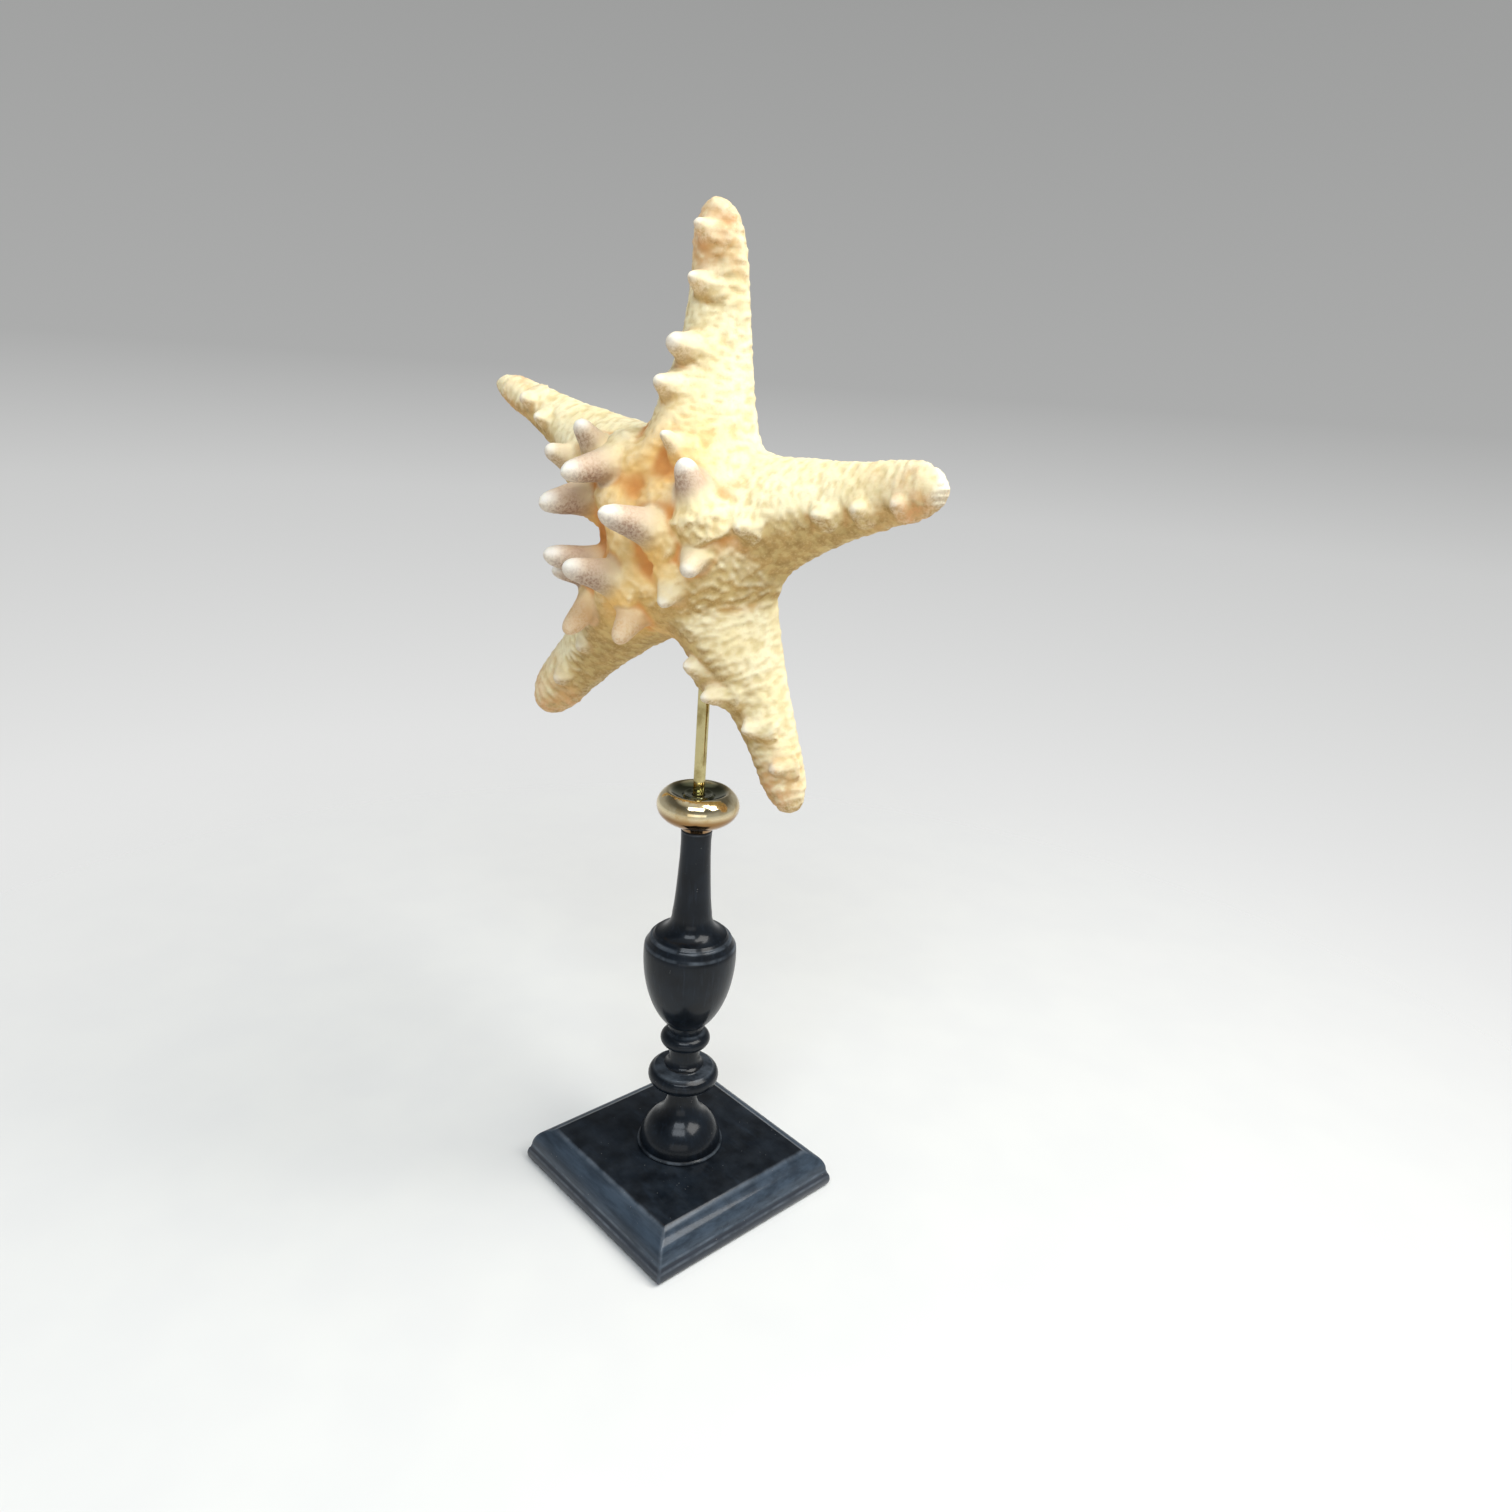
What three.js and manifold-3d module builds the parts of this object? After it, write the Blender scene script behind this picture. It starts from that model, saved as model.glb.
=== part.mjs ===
// A dried horned starfish shown on a turned stand: a moulded square plinth, a turned wooden column, a brass bun and
// a brass rod that runs up into the edge of one arm. Millimetres, +Z up. The origin is the centre of the plinth's
// underside, and the plinth's sides run along X and Y.

import * as THREE from 'three';
import { mergeVertices } from 'three/addons/utils/BufferGeometryUtils.js';
import Module from 'manifold-3d';

const wasm = await Module();
wasm.setup();

// ---- driving dimensions ----

const GAP = 0.3; // clearance between pieces that touch

const PLINTH_TOP = 15; // height of the plinth's flat top
const PLINTH_HALF = 40.4; // half the plinth's side, at its widest
const PLINTH_FLAT = 32; // half the side of the flat top
const TENON_R = 5;
const TENON_DEPTH = 9;

const COLUMN_TOP = 139.5; // height of the column's top end
const SOCKET_DEPTH = 19; // how far the rod goes down into the column
const LATHE_SIDES = 24;

const BUN_BASE = COLUMN_TOP + GAP;
const BUN_R = 13.9; // brass bun, at its widest
const BUN_TOP = 152.4;

const ROD_R = 2;
const ROD_TOP = 201;

const STAR_CENTRE = [-12, 4.8, 237.2]; // middle of the starfish's underside plane
const STAR_TURN = THREE.MathUtils.degToRad(11.5); // turn of the starfish about the vertical
const DISC_R = 36; // reach of the central disc
const DISC_HEIGHT = 29; // top of the disc above the underside plane
const BELLY = 6; // how far the underside bulges below the plane

// ---- small helpers ----

// Merges the shared corners of a closed geometry and drops the triangles that collapse at its poles.
function welded(geometry) {
  const bare = geometry.clone();
  bare.deleteAttribute('normal');
  bare.deleteAttribute('uv');
  const merged = mergeVertices(bare, 1e-4);
  const kept = [];
  const index = merged.index.array;
  for (let i = 0; i < index.length; i += 3) {
    const [a, b, c] = [index[i], index[i + 1], index[i + 2]];
    if (a !== b && b !== c && c !== a) kept.push(a, b, c);
  }
  merged.setIndex(kept);
  return merged;
}

function solid(geometry) {
  const merged = welded(geometry);
  const vertProperties = Float32Array.from(merged.attributes.position.array);
  const triVerts = Uint32Array.from(merged.index.array);
  return new wasm.Manifold(new wasm.Mesh({ numProp: 3, vertProperties, triVerts }));
}

function geometryOf(manifold) {
  const mesh = manifold.getMesh();
  const geometry = new THREE.BufferGeometry();
  geometry.setAttribute('position', new THREE.BufferAttribute(Float32Array.from(mesh.vertProperties), 3));
  geometry.setIndex(Array.from(mesh.triVerts));
  return geometry;
}

function part(name, geometry, color, roughness, metalness) {
  const material = new THREE.MeshStandardMaterial({ color, roughness, metalness });
  const mesh = new THREE.Mesh(geometry, material);
  mesh.name = name;
  return mesh;
}

// A solid of revolution about Z from [radius, height] points that start and end on the axis.
function turned(points, sides) {
  const outline = points.map(([r, z]) => new THREE.Vector2(r, z));
  return new THREE.LatheGeometry(outline, sides).rotateX(Math.PI / 2);
}

// Points on a round stretch of profile: an ellipse about [r, z], from one angle to another in degrees.
function arc(r, z, halfWidth, halfHeight, from, to, steps) {
  const points = [];
  for (let i = 0; i <= steps; i += 1) {
    const angle = THREE.MathUtils.degToRad(from + ((to - from) * i) / steps);
    points.push([r + halfWidth * Math.cos(angle), z + halfHeight * Math.sin(angle)]);
  }
  return points;
}

function peg(radius, bottom, top, sides) {
  return new THREE.CylinderGeometry(radius, radius, top - bottom, sides)
    .rotateX(Math.PI / 2)
    .translate(0, 0, (bottom + top) / 2);
}

// ---- plinth ----

// A four-sided turning is a square moulding with mitred corners. Its profile, from the underside up, is a soft
// torus, a narrow ledge, a convex shoulder and a small step to the flat top.
function plinth() {
  const diagonal = Math.SQRT2;
  const profile = [
    [0, 0],
    [39.2, 0],
    ...arc(38.8, 3, PLINTH_HALF - 38.8, 3, -45, 60, 5),
    [39.4, 6.6],
    ...arc(33, 6.4, 6.2, 7.4, 8, 80, 6),
    [33, 14.2],
    [PLINTH_FLAT, PLINTH_TOP],
    [0, PLINTH_TOP],
  ];
  const square = turned(profile.map(([a, z]) => [a * diagonal, z]), 4).rotateZ(Math.PI / 4);
  const socket = peg(TENON_R + GAP, PLINTH_TOP - TENON_DEPTH - GAP, PLINTH_TOP + 1, 24);
  return geometryOf(solid(square).subtract(solid(socket)));
}

// ---- column ----

function column() {
  const foot = PLINTH_TOP + GAP;
  const profile = [
    [0, PLINTH_TOP - TENON_DEPTH],
    [TENON_R, PLINTH_TOP - TENON_DEPTH],
    [TENON_R, foot],
    [15.6, foot],
    [15.6, foot + 0.6],
    ...arc(0, foot, 15, 14.6, 6, 69, 6), // ball foot
    [5.2, 31.5],
    [4.8, 38],
    [5.4, 40.6],
    ...arc(9.8, 44, 2.9, 3.2, -80, 50, 5), // collar disc
    [10.6, 47.1],
    [6.7, 47.4],
    [6.5, 48],
    ...arc(7.9, 51.4, 2.4, 3, 250, 180, 3), // cove above the collar
    [5.4, 54.4],
    ...arc(4.6, 59, 4.3, 3.2, -78, 70, 6), // bead
    [6.7, 62.6],
    ...arc(-0.6, 92.8, 16.8, 30.6, -64, 0, 6), // vase
    [16, 96.4],
    [15.6, 97.2],
    [14.2, 99.6],
    [13.4, 99.9],
    ...arc(13.4, 108.5, 6.5, 7.6, 262, 180, 4), // cove of the vase's shoulder
    [6.5, 111.5],
    [5.9, 118.5],
    [5.25, 130],
    [5.3, COLUMN_TOP],
    [0, COLUMN_TOP],
  ];
  const socket = peg(ROD_R + GAP, COLUMN_TOP - SOCKET_DEPTH - GAP, COLUMN_TOP + 1, 20);
  return geometryOf(solid(turned(profile, LATHE_SIDES)).subtract(solid(socket)));
}

// ---- brass ----

// The bun's profile closes on itself, because the rod's hole runs through it.
function bun() {
  const hole = ROD_R + GAP;
  const profile = [
    [hole, BUN_BASE],
    [5.4, BUN_BASE],
    [6.1, 141.3],
    ...arc(5.2, 148.6, BUN_R - 5.2, 6.6, -76, 34, 6),
    [11.4, BUN_TOP],
    [7.5, 152.1],
    [5.5, 151.8],
    [5.1, 152.4],
    [4.4, 152.4],
    [hole, 151.9],
    [hole, BUN_BASE],
  ];
  return welded(turned(profile, LATHE_SIDES));
}

function rod() {
  return peg(ROD_R, COLUMN_TOP - SOCKET_DEPTH, ROD_TOP, 16);
}

// ---- starfish ----

// The starfish is shaped lying flat, with its horned side up. Bearings turn clockwise from +Y.

// Stations along an arm: distance from the centre, half width, ridge height and depth below the underside plane.
const ARM_STATIONS = [
  [0, 25, 25, 6],
  [18, 24, 24.5, 6.5],
  [30, 19.5, 22, 6.5],
  [42, 15.6, 17.5, 6.2],
  [56, 12.6, 11.5, 5.8],
  [70, 10.4, 8.2, 5.2],
  [82, 8.6, 7, 4.4],
];
const ARM_REACH = 95;

// Bearing in degrees, length against the usual one, and how far the tip lifts from the plane.
const ARMS = [
  { bearing: 2, stretch: 1.0, lift: 4 },
  { bearing: 75.2, stretch: 0.94, lift: 3 },
  { bearing: 152.5, stretch: 1.0, lift: 0 },
  { bearing: 222.4, stretch: 1.04, lift: 2 },
  { bearing: 292, stretch: 1.02, lift: 1 },
];

// Horns and knobs: bearing, distance from the centre, length, radius at the root, and the lean of the tip away from
// straight up, as millimetres towards +X and +Y.
const HORNS = [
  // five large horns round the disc's crown and one on it
  [70, 6, 19, 6.2, -6, 5],
  [62, 20, 13, 6.0, -3, 12],
  [95, 19, 10, 5.4, 3, -5],
  [141, 17, 7, 5.0, 1, -4],
  [216, 19, 18, 6.2, -7, 4],
  [319, 26, 19, 6.0, -5, -3],
  // the row along each arm, from the disc outwards
  [16, 26, 9, 5.0, -3, 5],
  [0, 42, 6, 4.6, -1, 1],
  [2, 53, 6, 4.6, -1, 1],
  [3, 71, 5, 3.8, -1, 1],
  [3, 84, 5, 3.8, -1, 2],
  [79, 32, 3, 3.6, 0, 0],
  [77, 53, 4, 4.4, 0, 0],
  [77, 65, 4, 4.4, 0, 0],
  [77, 77, 4, 4.2, 0, 0],
  [160, 43, 6, 4.8, -2, 1],
  [155, 52, 7, 4.6, -3, -1],
  [150, 66, 5, 4.2, -2, 0],
  [149, 80, 4, 4.0, -1, 0],
  [231, 40, 14, 5.4, 1, -9],
  [198, 25, 12, 5.4, 1, -8],
  [242, 29, 17, 6.2, -6, 5],
  [240, 40, 12, 4.6, -3, 3],
  [223, 58, 4, 4.4, 0, -1],
  [223, 78, 4, 4.4, 0, -1],
  [286, 30, 18, 6.2, -4, -2],
  [304, 37, 11, 5.2, -2, 8],
  [292, 46, 9, 4.8, -3, 3],
  [295, 68, 5, 4.2, -1, 1],
  [296, 78, 5, 4.2, -1, 1],
];

// Half width, ridge height and depth at a distance, on straight lines between the stations.
function alongArm(distance) {
  const last = ARM_STATIONS.length - 1;
  let i = 0;
  while (i < last - 1 && ARM_STATIONS[i + 1][0] < distance) i += 1;
  const [near, far] = [ARM_STATIONS[i], ARM_STATIONS[i + 1]];
  const t = Math.min(Math.max((distance - near[0]) / (far[0] - near[0]), 0), 1);
  return [1, 2, 3].map((k) => near[k] + (far[k] - near[k]) * t);
}

// Half width, ridge height and depth of an arm at a distance, with a blunt round tip.
function armSection(distance) {
  const [width, ridge, depth] = alongArm(distance);
  const round = Math.max(0, (distance - 78) / (ARM_REACH - 78));
  const tip = Math.sqrt(Math.max(0, 1 - round * round));
  return [width * tip, ridge * tip, depth * tip];
}

function bearingVector(bearing) {
  const angle = THREE.MathUtils.degToRad(bearing);
  return new THREE.Vector2(Math.sin(angle), Math.cos(angle));
}

function power(value, exponent) {
  return Math.sign(value) * Math.abs(value) ** exponent;
}

// A sphere drawn out into one arm. Its section is a rounded triangle above the plane and a shallow bowl below it.
function arm({ bearing, stretch, lift }) {
  const geometry = new THREE.SphereGeometry(1, 14, 14);
  const position = geometry.attributes.position;
  const along = bearingVector(bearing);
  for (let i = 0; i < position.count; i += 1) {
    const point = new THREE.Vector3().fromBufferAttribute(position, i);
    const share = Math.acos(THREE.MathUtils.clamp(point.y, -1, 1)) / Math.PI;
    const distance = ARM_REACH * (1 - share ** 1.4);
    const ring = Math.hypot(point.x, point.z) || 1;
    const [side, up] = [point.x / ring, point.z / ring];
    const [width, ridge, depth] = armSection(distance);
    const closing = Math.min(1, (1 - share) * 12, share * 40);
    const x = width * power(side, 1.25) * closing;
    const z = (up > 0 ? ridge * up ** 1.35 : -depth * (-up) ** 0.9) * closing;
    const raised = z + lift * Math.max(0, (distance - 50) / 43) ** 2;
    const reach = distance * stretch;
    position.setXYZ(i, along.x * reach + along.y * x, along.y * reach - along.x * x, raised);
  }
  return solid(geometry);
}

// Height of the disc's domed top at a distance from the centre.
function discHeight(distance) {
  return DISC_HEIGHT * Math.max(0, 1 - (distance / DISC_R) ** 3) ** 0.6;
}

function disc() {
  const profile = [[0, -BELLY]];
  const steps = 5;
  for (let i = 1; i < steps; i += 1) {
    const angle = (Math.PI / 2) * (i / steps);
    profile.push([DISC_R * Math.sin(angle), -BELLY * Math.cos(angle)]);
  }
  for (let i = 0; i < steps; i += 1) {
    const r = DISC_R * Math.cos((Math.PI / 2) * (i / steps));
    profile.push([r, discHeight(r)]);
  }
  profile.push([0, DISC_HEIGHT]);
  return solid(turned(profile, 25));
}

// Height of the skin at a bearing and distance, which is where a horn stands.
function skinHeight(bearing, distance) {
  let height = distance < DISC_R ? discHeight(distance) : 0;
  for (const { bearing: axis, lift } of ARMS) {
    const off = THREE.MathUtils.degToRad(bearing - axis);
    if (Math.cos(off) > 0) {
      const reach = distance * Math.cos(off);
      const [width, ridge] = armSection(reach);
      const aside = Math.min(1, Math.abs(distance * Math.sin(off)) / Math.max(width, 0.1));
      const raised = lift * Math.max(0, (reach - 50) / 43) ** 2;
      height = Math.max(height, ridge * (1 - aside ** 1.6) ** 0.7 + raised);
    }
  }
  return height;
}

function horn([bearing, distance, length, radius, leanX, leanY]) {
  const root = 3;
  const flat = bearingVector(bearing).multiplyScalar(distance);
  const foot = new THREE.Vector3(flat.x, flat.y, skinHeight(bearing, distance) - root);
  const axis = new THREE.Vector3(leanX, leanY, Math.sqrt(Math.max(4, length ** 2 - leanX ** 2 - leanY ** 2)));
  const profile = [
    [0, 0],
    [radius * 1.15, 0],
    [radius * 0.86, root + length * 0.2],
    [radius * 0.6, root + length * 0.65],
    [radius * 0.36, root + length * 0.93],
    [0, root + length],
  ];
  const spin = new THREE.Quaternion().setFromUnitVectors(new THREE.Vector3(0, 0, 1), axis.normalize());
  const cone = turned(profile, 8).applyQuaternion(spin).translate(foot.x, foot.y, foot.z);
  return solid(cone);
}

// The starfish stands upright: its horned side faces -Y and a little +X, and its arms lie in a vertical plane.
function placeUpright(geometry) {
  return geometry.rotateX(Math.PI / 2).rotateZ(STAR_TURN).translate(...STAR_CENTRE);
}

function starfish() {
  let body = disc();
  for (const shape of ARMS) body = body.add(arm(shape));
  for (const shape of HORNS) body = body.add(horn(shape));
  const upright = placeUpright(geometryOf(body));
  const bore = peg(ROD_R + GAP, ROD_TOP - 40, ROD_TOP + GAP, 16);
  return geometryOf(solid(upright).subtract(solid(bore)));
}

// ---- the object ----

const stand = new THREE.Group();
stand.add(part('base_plinth', plinth(), 0x1b222b, 0.42, 0));
stand.add(part('turned_column', column(), 0x1b222b, 0.38, 0));
stand.add(part('brass_bun', bun(), 0xc9a860, 0.14, 1));
stand.add(part('brass_rod', rod(), 0xd3b878, 0.16, 1));

const object = new THREE.Group();
object.add(stand);
object.add(part('starfish', starfish(), 0xeadcb0, 0.85, 0));

export default object;
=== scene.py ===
# %% [markdown]
# # A dried horned starfish on a turned stand
#
# This lesson dresses a finished frame. The frame holds five plain solids at their real size: a square
# plinth, a turned column, a brass bun, a brass rod and a starfish. Each one is modelled again here with
# the detail that a hand and an eye would find on it, gets its own finish, and is then lit on a pale
# floor.
#
# Lengths are given in millimetres, as a maker would give them. `MM` turns them into Blender's metres.

from math import cos, exp, pi, radians, sin

import bpy
import numpy as np
from mathutils import Matrix, Vector, noise


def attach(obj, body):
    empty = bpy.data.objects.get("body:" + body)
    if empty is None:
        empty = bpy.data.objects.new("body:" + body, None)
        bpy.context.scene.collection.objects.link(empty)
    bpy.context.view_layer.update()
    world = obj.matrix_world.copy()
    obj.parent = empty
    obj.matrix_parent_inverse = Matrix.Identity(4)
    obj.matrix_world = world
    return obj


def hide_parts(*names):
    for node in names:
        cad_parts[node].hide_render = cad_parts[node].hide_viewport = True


MM = 0.001

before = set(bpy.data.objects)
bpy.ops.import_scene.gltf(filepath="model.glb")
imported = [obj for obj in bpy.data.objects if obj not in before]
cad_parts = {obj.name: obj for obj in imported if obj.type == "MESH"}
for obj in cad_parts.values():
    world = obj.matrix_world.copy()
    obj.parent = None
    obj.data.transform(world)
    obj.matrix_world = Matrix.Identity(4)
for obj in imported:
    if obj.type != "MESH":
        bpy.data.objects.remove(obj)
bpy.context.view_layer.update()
print("nodes:", sorted(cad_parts))

# %% [markdown]
# ## The camera
#
# The camera stands a little above the starfish's middle and looks down on the stand's front corner. A
# camera looks along its own -Z, so it is first tipped up from straight down, and then turned about the
# vertical. The small roll comes last, in the camera's own frame, because a hand-held picture is never
# quite level.

# %% Camera
CAMERA_PLACE = (263.5, -226.0, 283.2)
CAMERA_BEARING = 46.392
CAMERA_DIP = 18.558
CAMERA_ROLL = 4.128
CAMERA_LENS = 26.51


def hang_camera():
    """Makes the camera at its place, with its tilt and roll."""
    data = bpy.data.cameras.new("camera")
    data.lens = CAMERA_LENS
    data.sensor_width = 36
    data.clip_start = 0.01
    data.clip_end = 50
    camera = bpy.data.objects.new("camera", data)
    bpy.context.scene.collection.objects.link(camera)
    place = Matrix.Translation(Vector(CAMERA_PLACE) * MM)
    turn = Matrix.Rotation(radians(CAMERA_BEARING), 4, "Z")
    tip = Matrix.Rotation(pi / 2 - radians(CAMERA_DIP), 4, "X")
    roll = Matrix.Rotation(radians(CAMERA_ROLL), 4, "Z")
    camera.matrix_world = place @ turn @ tip @ roll
    bpy.context.scene.camera = camera
    return camera


camera = hang_camera()
print("camera at", [round(value, 3) for value in camera.matrix_world.translation])

# %% [markdown]
# ## Working with operators
#
# `bpy.ops` acts on whatever is selected, as the mouse would. Loading the frame leaves its nodes selected,
# so every new piece starts by letting go of everything. These small helpers keep that habit in one place.

# %% Helpers for modelling


def let_go():
    """Leaves edit mode and deselects every object."""
    if bpy.context.object and bpy.context.object.mode != "OBJECT":
        bpy.ops.object.mode_set(mode="OBJECT")
    bpy.ops.object.select_all(action="DESELECT")


def take(piece):
    """Selects one object and makes it the active one."""
    let_go()
    piece.select_set(True)
    bpy.context.view_layer.objects.active = piece


def apply_modifier(piece, kind, **settings):
    """Adds a modifier with the settings given, and applies it."""
    take(piece)
    modifier = piece.modifiers.new(kind.lower(), kind)
    for name, value in settings.items():
        setattr(modifier, name, value)
    bpy.ops.object.modifier_apply(modifier=modifier.name)


def join(name, pieces):
    """Joins the pieces into the first one."""
    let_go()
    for piece in pieces:
        piece.select_set(True)
    bpy.context.view_layer.objects.active = pieces[0]
    bpy.ops.object.join()
    pieces[0].name = name
    return pieces[0]


def settle(piece, node):
    """Hands over a finished piece: it rides on the body and stands in for its node, which is hidden."""
    take(piece)
    bpy.ops.object.transform_apply(location=True, rotation=True, scale=True)
    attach(piece, "root")
    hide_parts(node)
    print(piece.name, "has", len(piece.data.polygons), "faces")


# %% [markdown]
# ## Turned shapes
#
# A lathe makes the column, the bun and the rod: one outline, carried round an axis. Here the outline is
# drawn as a turner's template would be, as points of radius and height with arcs for the round stretches.
# One vertex is extruded from point to point, and the Spin operator carries the line round. Where the
# outline starts or ends on the axis, the copies of that point fall on each other and are merged, so the
# shape is closed.

# %% Arcs and spinning


def arc(r, z, half_width, half_height, start, end, steps):
    """Points on an ellipse about (r, z), from one angle to another in degrees."""
    points = []
    for step in range(steps + 1):
        angle = radians(start + (end - start) * step / steps)
        points.append((r + half_width * cos(angle), z + half_height * sin(angle)))
    return points


def spin_outline(name, outline, steps):
    """Extrudes one vertex along (radius, height) points in mm, and spins the line about the vertical."""
    let_go()
    bpy.ops.mesh.primitive_plane_add(size=MM, location=(0, 0, 0))
    piece = bpy.context.object
    piece.name = name
    piece.data.name = name
    bpy.ops.object.mode_set(mode="EDIT")
    bpy.ops.mesh.select_all(action="SELECT")
    bpy.ops.mesh.merge(type="CENTER")
    here = Vector((outline[0][0], 0, outline[0][1])) * MM
    bpy.ops.transform.translate(value=here)
    for radius, height in outline[1:]:
        there = Vector((radius, 0, height)) * MM
        bpy.ops.mesh.extrude_region_move(TRANSFORM_OT_translate={"value": there - here})
        here = there
    bpy.ops.mesh.select_all(action="SELECT")
    bpy.ops.mesh.spin(steps=steps, angle=2 * pi, center=(0, 0, 0), axis=(0, 0, 1))
    bpy.ops.mesh.select_all(action="SELECT")
    bpy.ops.mesh.remove_doubles(threshold=0.001 * MM)
    bpy.ops.mesh.normals_make_consistent(inside=False)
    bpy.ops.object.mode_set(mode="OBJECT")
    return piece


def drill(piece, radius, bottom, top):
    """Cuts a round hole on the stand's axis, from one height to another, in millimetres."""
    let_go()
    middle = (0, 0, (bottom + top) / 2 * MM)
    depth = (top - bottom) * MM
    bpy.ops.mesh.primitive_cylinder_add(vertices=48, radius=radius * MM, depth=depth, location=middle)
    bit = bpy.context.object
    apply_modifier(piece, "BOOLEAN", operation="DIFFERENCE", solver="EXACT", object=bit)
    bpy.data.objects.remove(bit)


# %% [markdown]
# ## The plinth
#
# The real plinth is a block of wood with a moulding run along its four sides: a soft torus at the floor,
# a narrow ledge, and a shoulder that rolls up to the flat top. A moulding with mitred corners is a stack
# of squares, so a plane is extruded upwards and resized once for each point of the outline. A bevel then
# takes the sharpness off the edges, and a socket is drilled for the column's tenon.

# %% Plinth
PLINTH_TOP = 15
PLINTH_OUTLINE = [
    (39.2, 0),
    *arc(38.8, 3, 1.6, 3, -45, 60, 10),
    (39.4, 6.3),
    *arc(33, 6.4, 6.2, 7.4, 4, 80, 12),
    (33, 14.2),
    (32, PLINTH_TOP),
]
SOCKET_RADIUS = 5.3
SOCKET_BOTTOM = 5.7
EDGE_SOFTNESS = 0.35


def stack_squares(name, outline):
    """Extrudes and resizes a square plane along (half side, height) points."""
    let_go()
    half, height = outline[0]
    bpy.ops.mesh.primitive_plane_add(size=2 * half * MM, location=(0, 0, height * MM))
    piece = bpy.context.object
    piece.name = name
    piece.data.name = name
    bpy.ops.object.mode_set(mode="EDIT")
    bpy.ops.mesh.select_all(action="SELECT")
    for next_half, next_height in outline[1:]:
        rise = Vector((0, 0, next_height - height)) * MM
        bpy.ops.mesh.extrude_region_move(TRANSFORM_OT_translate={"value": rise})
        ratio = next_half / half
        bpy.ops.transform.resize(value=(ratio, ratio, 1), center_override=(0, 0, next_height * MM))
        half, height = next_half, next_height
    bpy.ops.mesh.select_all(action="SELECT")
    bpy.ops.mesh.normals_make_consistent(inside=False)
    bpy.ops.object.mode_set(mode="OBJECT")
    return piece


plinth = stack_squares("moulded_plinth", PLINTH_OUTLINE)
drill(plinth, SOCKET_RADIUS, SOCKET_BOTTOM, PLINTH_TOP + 1)
softness = EDGE_SOFTNESS * MM
apply_modifier(plinth, "BEVEL", width=softness, segments=3, limit_method="ANGLE", angle_limit=radians(28))
bpy.ops.object.shade_smooth_by_angle(angle=radians(35))
settle(plinth, "base_plinth")

# %% [markdown]
# ## The column
#
# The column is one turning: a tenon, a ball foot on a thin ring, a collar, a cove, a bead, a tall vase
# with a cut step at its shoulder, and a long neck. The outline follows it from the bottom up. The edges
# that a turner leaves crisp stay crisp, because smooth shading stops at an angle.

# %% Column
COLUMN_TOP = 139.5
COLUMN_OUTLINE = [
    (0, 6),
    (5, 6),
    (5, 15.3),
    (15.4, 15.3),
    (15.7, 15.5),
    (15.6, 16),
    *arc(0, 15.3, 15, 14.6, 4, 50, 14),
    (8.6, 27.4),
    (7.6, 28.6),
    (6.7, 30),
    (6.0, 31.6),
    (5.4, 33.6),
    (5.0, 35.8),
    (4.8, 38),
    (5.0, 39.8),
    (5.6, 40.7),
    *arc(9.8, 44, 2.9, 3.2, -80, 50, 12),
    (10.8, 46.9),
    (10.5, 47.2),
    (7.0, 47.3),
    (6.7, 47.5),
    (6.5, 48),
    *arc(7.9, 51.4, 2.4, 3, 250, 180, 8),
    (5.4, 54.4),
    *arc(4.6, 59, 4.3, 3.2, -78, 70, 14),
    (6.2, 62.3),
    *arc(-0.6, 92.8, 16.8, 30.6, -64, 0, 22),
    (16.15, 95),
    (15.95, 96.6),
    (15.5, 97.3),
    (14.9, 98.1),
    (14.3, 99.4),
    (13.9, 99.8),
    (13.4, 99.9),
    *arc(13.4, 108.5, 6.5, 7.6, 262, 180, 12),
    (6.55, 111),
    (6.2, 114.5),
    (5.9, 118.5),
    (5.6, 123.5),
    (5.25, 130),
    (5.15, 135.5),
    (5.3, 139.2),
    (5.1, COLUMN_TOP),
    (0, COLUMN_TOP),
]
BORE_RADIUS = 2.3
BORE_BOTTOM = 120.2
LATHE_STEPS = 96

column = spin_outline("ebonised_column", COLUMN_OUTLINE, LATHE_STEPS)
drill(column, BORE_RADIUS, BORE_BOTTOM, COLUMN_TOP + 1)
take(column)
bpy.ops.object.shade_smooth_by_angle(angle=radians(32))
settle(column, "turned_column")

# %% [markdown]
# ## The brass
#
# The bun is a brass turning with a hole through it. Its top is very slightly dished, with a raised ring
# that the rod passes through, and its edge is fully round. The rod is drawn wire, so its ends are only
# broken with a small chamfer. Mirror-bright metal shows every facet, so both are spun in many steps.

# %% Bun and rod
BUN_OUTLINE = [
    (2.3, 139.8),
    (5.3, 139.8),
    (5.6, 140.2),
    *arc(5.2, 148.4, 8.7, 6.6, -80, 52, 26),
    (10.0, 153.55),
    (9.3, 153.2),
    (8.2, 152.5),
    (6.8, 152.0),
    (5.6, 151.8),
    (5.2, 152.1),
    (4.9, 152.4),
    (4.4, 152.4),
    (4.0, 152.1),
    (3.2, 151.9),
    (2.3, 151.9),
    (2.3, 139.8),
]
ROD_RADIUS = 2
ROD_FOOT = 120.5
ROD_TOP = 201
CHAMFER = 0.3
ROD_OUTLINE = [
    (0, ROD_FOOT),
    (ROD_RADIUS - CHAMFER, ROD_FOOT),
    (ROD_RADIUS, ROD_FOOT + CHAMFER),
    (ROD_RADIUS, 140),
    (ROD_RADIUS, 160),
    (ROD_RADIUS, 180),
    (ROD_RADIUS, ROD_TOP - CHAMFER),
    (ROD_RADIUS - CHAMFER, ROD_TOP),
    (0, ROD_TOP),
]

bun = spin_outline("polished_bun", BUN_OUTLINE, LATHE_STEPS)
take(bun)
bpy.ops.object.shade_smooth_by_angle(angle=radians(40))
settle(bun, "brass_bun")

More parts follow.
